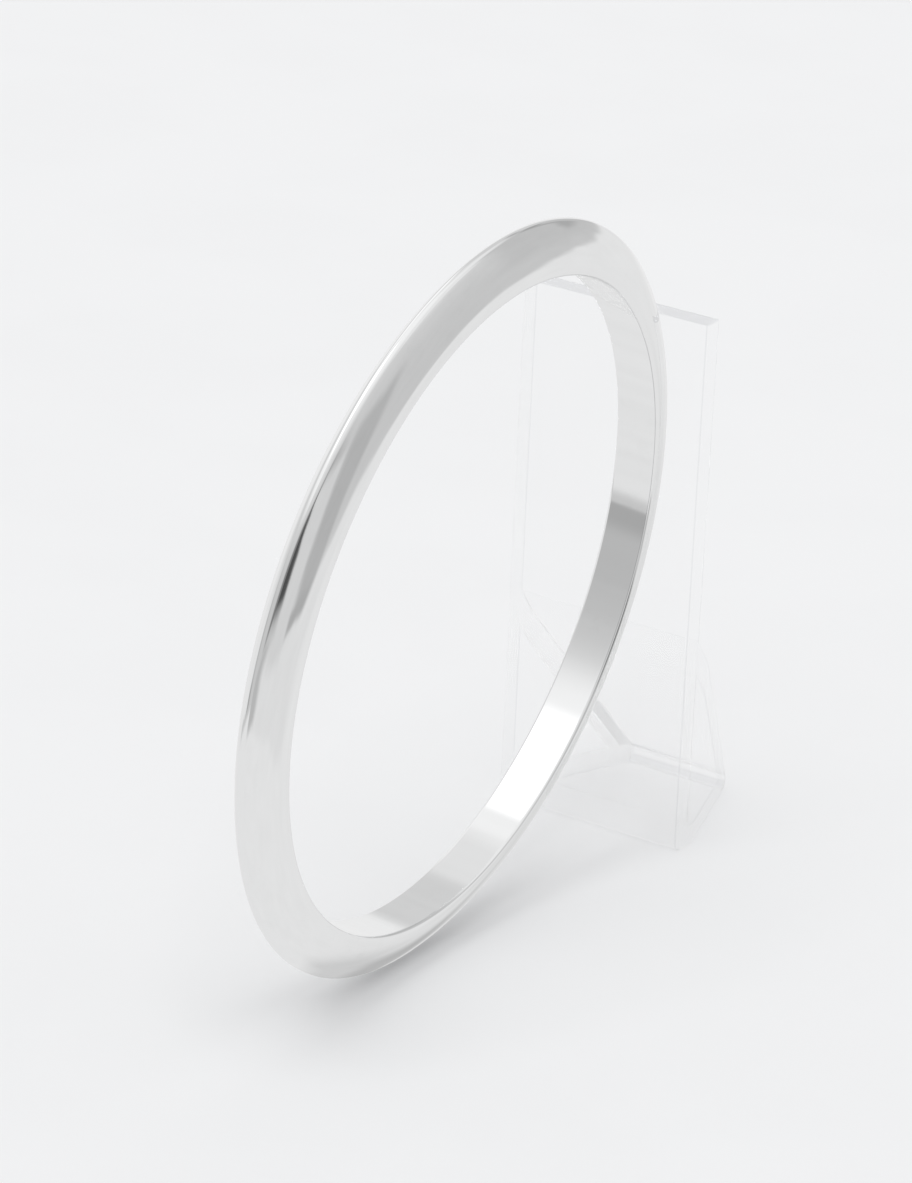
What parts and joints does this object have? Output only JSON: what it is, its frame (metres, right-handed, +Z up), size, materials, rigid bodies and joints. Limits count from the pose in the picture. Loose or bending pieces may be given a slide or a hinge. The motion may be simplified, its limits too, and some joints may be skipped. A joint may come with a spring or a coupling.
{
  "type": "kada bangle on a clear stand",
  "caption": "Slim round kada bangle with a flat inner face and a ridged outside, standing on edge against a small folded clear display stand.",
  "frame": {"origin": "centre of the bangle's hole", "axes": "+Z is up, +X points from the bangle to the stand, and -Y is the bangle's front side"},
  "size_m": [0.0937, 0.0213, 0.0728],
  "materials": {
    "bangle": "polished silver",
    "stand": "clear polished acrylic"
  },
  "bodies": {
    "root": {"bangle": "bangle", "stand": "stand"}
  },
  "joints": []
}
